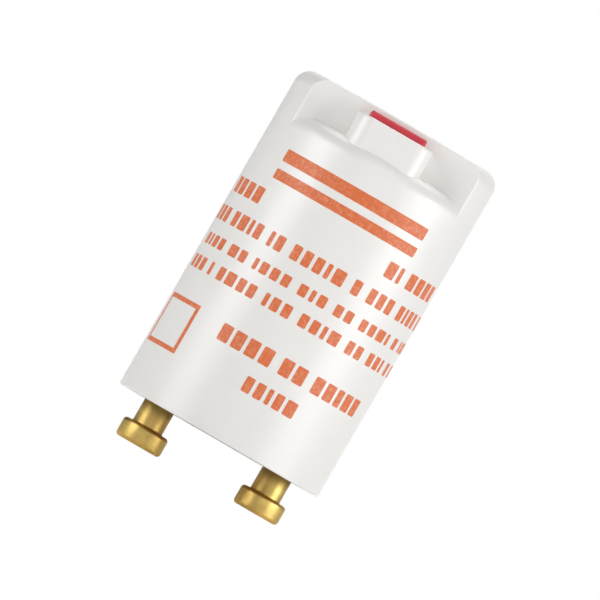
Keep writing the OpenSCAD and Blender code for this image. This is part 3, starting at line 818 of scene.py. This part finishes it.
class STARTER_OT_print(bpy.types.Operator):
    """Stamps the print on the can: two stripes, rows of plain blocks and an empty frame"""
    bl_idname = "starter.print"
    bl_label = "Stamp the print"

    def execute(self, context):
        can, ink = context.scene.starter_can, context.scene.starter_print
        colours = context.scene.starter_colours
        finish = printed_ink(colours.ink, colours.ink_thin)
        fields = {name: [field] for name, *field in PRINT_STRIPES}
        degree = can.radius * math.radians(1)
        for name, low, high, angle, words in PRINT_ROWS:
            fields[name] = []
            for letter in words:
                if letter == " ":
                    angle += (WORD_GAP - BLOCK_GAP) * ink.letter / degree
                    continue
                end = angle + BLOCK_WIDTHS[letter] * ink.letter / degree
                fields[name].append((angle, end, low, high))
                angle = end + BLOCK_GAP * ink.letter / degree
        for name, blocks in fields.items():
            piece = start(name)
            for first, last, low, high in blocks:
                self.stamp(context, first, last, low * MM, high * MM)
            close(piece)
            self.finish_print(piece, ink.corner, finish)

        # The empty frame: a block with a smaller one cut out of it
        first, last, low, high = PRINT_FRAME
        piece = start("print_frame")
        self.stamp(context, first, last, low * MM, high * MM)
        close(piece)
        hole = start("print_frame_hole")
        side = ink.line / degree
        self.stamp(context, first + side, last - side, low * MM + ink.line, high * MM - ink.line,
                   SUNK)
        close(hole)
        work(piece, hole, "DIFFERENCE")
        self.finish_print(piece, 0, finish)
        return {"FINISHED"}

    def stamp(self, context, first, last, low, high, past=0.0):
        """Sweeps a thin section of ink along the wall, between two angles from the front."""
        radius, root = context.scene.starter_can.radius, context.scene.starter_print.root
        turn = math.radians(first)
        inner, outer = radius - root - past, radius + past
        corners = [(inner, low), (outer, low), (outer, high), (inner, high)]
        draw([(r * math.sin(turn), -r * math.cos(turn), z) for r, z in corners])
        bpy.ops.mesh.edge_face_add()
        steps = max(2, round((last - first) / SWEEP_STEP))
        bpy.ops.mesh.spin(steps=steps, angle=math.radians(last - first), center=(0, 0, 0),
                          axis=(0, 0, -1))

    def finish_print(self, piece, corner, finish):
        """Rounds the blocks' corners, and hangs the print on the can."""
        longest = 0.1 * MM
        if corner:
            joined = [0] * len(piece.data.vertices)
            for edge in piece.data.edges:
                for v in edge.vertices:
                    joined[v] += 1
            ends = {tuple(v.co) for v in piece.data.vertices if joined[v.index] == 3}
            round_edges(piece, lambda a, b: tuple(a) in ends and tuple(b) in ends
                        and near(a.z, b.z) and (a.xy - b.xy).length < longest, corner, 3)
        polish(piece, False)
        place(piece, "body", "can_plastic", finish)


class STARTER_OT_inner(bpy.types.Operator):
    """Gives the CAD pieces that stay their real finishes"""
    bl_idname = "starter.inner"
    bl_label = "Finish the inner works"

    def execute(self, context):
        finishes = inner_finishes(context.scene.starter_colours)
        for part in frame["record"]["subparts"]:
            finish = finishes.get(part["material_slot"])
            if finish is None:
                continue
            for slot in frame["nodes"][part["node"]].material_slots:
                slot.material = finish
        return {"FINISHED"}


# Soft lamps: the key from the right, a fill from the left, a weak one over the front and one
# behind, so that no side falls dark. Each has its angle to the right of the camera and over the
# floor in degrees, its distance and its width and height in metres, and its power in watts.
LAMPS = [
    ("key_lamp", 66, 13, 0.42, (0.3, 0.2), 0.86),
    ("fill_lamp", -60, 13, 0.42, (0.22, 0.2), 0.66),
    ("front_lamp", 10, 45, 0.6, (0.5, 0.5), 0.55),
    ("back_lamp", 180, 62, 0.55, (0.5, 0.4), 1.5),
]
# Level of the light from all round
SKY_LEVEL = 0.2
# Levels that gloss and metal see to the left, ahead and behind, and to the right
LEFT_LEVEL, MIDDLE_LEVEL, RIGHT_LEVEL = 0.05, 1.0, 0.25
# Height that the lamps aim at
LAMP_AIM = 15.0 * MM
# The point in the picture's middle, the picture's width there, and the lean in degrees
PICTURE_MIDDLE = (0.05 * MM, 0.0, 15.2 * MM)
PICTURE_WIDTH = 56.13 * MM
LEAN = 30.03


class STARTER_OT_stage(bpy.types.Operator):
    """Sets up the floor, the white surroundings, the lamps and the camera"""
    bl_idname = "starter.stage"
    bl_label = "Set the stage"

    def execute(self, context):
        scene = context.scene
        scene.view_settings.view_transform = "Standard"
        self.floor(context)
        self.surroundings(scene)
        for settings in LAMPS:
            self.lamp(*settings)
        self.camera(scene)
        return {"FINISHED"}

    def floor(self, context):
        """A wide pale floor: white to the eye, with the object's own shadow on it."""
        clear()
        bpy.ops.mesh.primitive_circle_add(vertices=96, radius=2.0, fill_type="NGON",
                                          location=(0, 0, CAD_BOX[0][2]))
        floor = named("floor")
        material = bpy.data.materials.new("Pale floor")
        material.use_nodes = True
        tree = material.node_tree
        tree.nodes.clear()
        colour = rgba(context.scene.starter_colours.floor)
        seen = self.seen(tree)
        matt = add_node(tree, "BsdfDiffuse", {"Color": colour})
        # Near the object the lamps light the floor, and it glows just enough to stay white and
        # still show the shadow; farther off it glows in full
        coords = add_node(tree, "TexCoord").outputs["Object"]
        reach = add_node(tree, "VectorMath", links={0: coords}, operation="LENGTH")
        level = add_node(tree, "MapRange", {"From Min": 0.12, "From Max": 0.45, "To Min": 0.25,
                                            "To Max": 1.0}, {"Value": reach.outputs["Value"]})
        power = add_node(tree, "Math", links={0: level.outputs["Result"], 1: seen},
                         operation="MULTIPLY")
        glow = add_node(tree, "Emission", {"Color": colour}, {"Strength": power.outputs[0]})
        both = add_node(tree, "AddShader", links={0: matt.outputs[0], 1: glow.outputs[0]})
        # Clear from below, so that the pins and the base can be looked at
        under = add_node(tree, "NewGeometry").outputs["Backfacing"]
        clear_below = add_node(tree, "MixShader", links={
            0: under, 1: both.outputs[0], 2: add_node(tree, "BsdfTransparent").outputs[0]})
        add_node(tree, "OutputMaterial", links={"Surface": clear_below.outputs[0]})
        floor.data.materials.append(material)

    def seen(self, tree):
        """1 for rays from the eye, off metal or through glass, and otherwise 0."""
        rays = add_node(tree, "LightPath")
        metal = add_node(tree, "Math", links={0: rays.outputs["Is Camera Ray"],
                                              1: rays.outputs["Is Glossy Ray"]},
                         operation="MAXIMUM")
        glass = add_node(tree, "Math", links={0: metal.outputs[0],
                                              1: rays.outputs["Is Transmission Ray"]},
                         operation="MAXIMUM")
        return glass.outputs[0]

    def surroundings(self, scene):
        """White behind the object, and a plain soft level of light from all round."""
        world = bpy.data.worlds.new("Studio")
        scene.world = world
        world.use_nodes = True
        tree = world.node_tree
        tree.nodes.clear()
        # The studio darkens to both sides, most to the left, where metal and gloss show it
        way = add_node(tree, "TexCoord").outputs["Generated"]
        parts = add_node(tree, "SeparateXYZ", links={"Vector": way})
        across = add_node(tree, "MapRange", {"From Min": -1.0, "From Max": 1.0},
                          {"Value": parts.outputs["X"]})
        fall = add_node(tree, "ValToRGB", links={"Fac": across.outputs["Result"]})
        stops = fall.color_ramp.elements
        stops[0].position, stops[0].color = 0.3, rgba([LEFT_LEVEL] * 3)
        stops[1].position, stops[1].color = 0.86, rgba([RIGHT_LEVEL] * 3)
        stops.new(0.5).color = rgba([MIDDLE_LEVEL] * 3)
        rays = add_node(tree, "LightPath")
        shown = add_node(tree, "Mix", {6: rgba([1, 1, 1])},
                         {0: rays.outputs["Is Glossy Ray"], 7: fall.outputs["Color"]},
                         data_type="RGBA")
        mixed = add_node(tree, "Mix", {6: rgba([SKY_LEVEL] * 3)},
                         {0: self.seen(tree), 7: shown.outputs[2]}, data_type="RGBA")
        sky = add_node(tree, "Background", {"Strength": 1.0}, {"Color": mixed.outputs[2]})
        add_node(tree, "OutputWorld", links={"Surface": sky.outputs[0]})

    def lamp(self, name, turn, lift, away, size, power):
        """A flat soft lamp, at an angle to the right of the camera and over the floor."""
        a, e = math.radians(turn), math.radians(lift)
        aim = Vector((0, 0, LAMP_AIM))
        spot = aim + away * Vector((math.sin(a) * math.cos(e), -math.cos(a) * math.cos(e),
                                    math.sin(e)))
        clear()
        bpy.ops.object.light_add(type="AREA", location=spot,
                                 rotation=(spot - aim).to_track_quat("Z", "Y").to_euler())
        lamp = bpy.context.object
        lamp.name = lamp.data.name = name
        lamp.data.shape = "RECTANGLE"
        lamp.data.size, lamp.data.size_y = size
        lamp.data.energy = power

    def camera(self, scene):
        """A long lens on the floor, rolled so that the object leans as in the photo."""
        lens, film = 1200.0, 36.0
        aim = Vector(PICTURE_MIDDLE)
        # A little under the floor, which is clear from below and shows as no line
        under = 0.5 * MM
        spot = Vector((aim.x, -PICTURE_WIDTH * lens / film, CAD_BOX[0][2] - under))
        back = (spot - aim).normalized()
        side = Vector((1, 0, 0))
        lean = Matrix.Rotation(math.radians(LEAN), 3, back)
        right, up = lean @ side, lean @ back.cross(side)
        turn = Matrix((right, up, back)).transposed()
        clear()
        bpy.ops.object.camera_add(location=spot, rotation=turn.to_euler())
        camera = bpy.context.object
        camera.name = camera.data.name = "camera"
        camera.data.lens = lens
        camera.data.sensor_width = film
        camera.data.clip_start = 0.01
        camera.data.clip_end = 10.0
        scene.camera = camera


class STARTER_PT_panel(bpy.types.Panel):
    """Lists the starter's pieces and their settings"""
    bl_idname = "STARTER_PT_panel"
    bl_label = "Fluorescent starter"
    bl_space_type = "VIEW_3D"
    bl_region_type = "UI"
    bl_category = "Starter"

    def draw(self, context):
        for operator in OPERATORS:
            self.layout.operator(operator.bl_idname)
        for key, group in SETTINGS.items():
            box = self.layout.box()
            for name in group.__annotations__:
                box.prop(getattr(context.scene, key), name)


OPERATORS = (STARTER_OT_can, STARTER_OT_pins, STARTER_OT_button, STARTER_OT_print,
             STARTER_OT_inner, STARTER_OT_stage)


def register():
    for group in SETTINGS.values():
        bpy.utils.register_class(group)
    for key, group in SETTINGS.items():
        setattr(bpy.types.Scene, key, bpy.props.PointerProperty(type=group))
    for kind in (*OPERATORS, STARTER_PT_panel):
        bpy.utils.register_class(kind)


def unregister():
    for kind in (STARTER_PT_panel, *reversed(OPERATORS)):
        bpy.utils.unregister_class(kind)
    for key in SETTINGS:
        delattr(bpy.types.Scene, key)
    for group in reversed(SETTINGS.values()):
        bpy.utils.unregister_class(group)


def main():
    register()
    bpy.ops.starter.can()
    bpy.ops.starter.pins()
    bpy.ops.starter.button()
    bpy.ops.starter.print()
    bpy.ops.starter.inner()
    bpy.ops.starter.stage()
    clear()


if __name__ == "__main__":
    main()
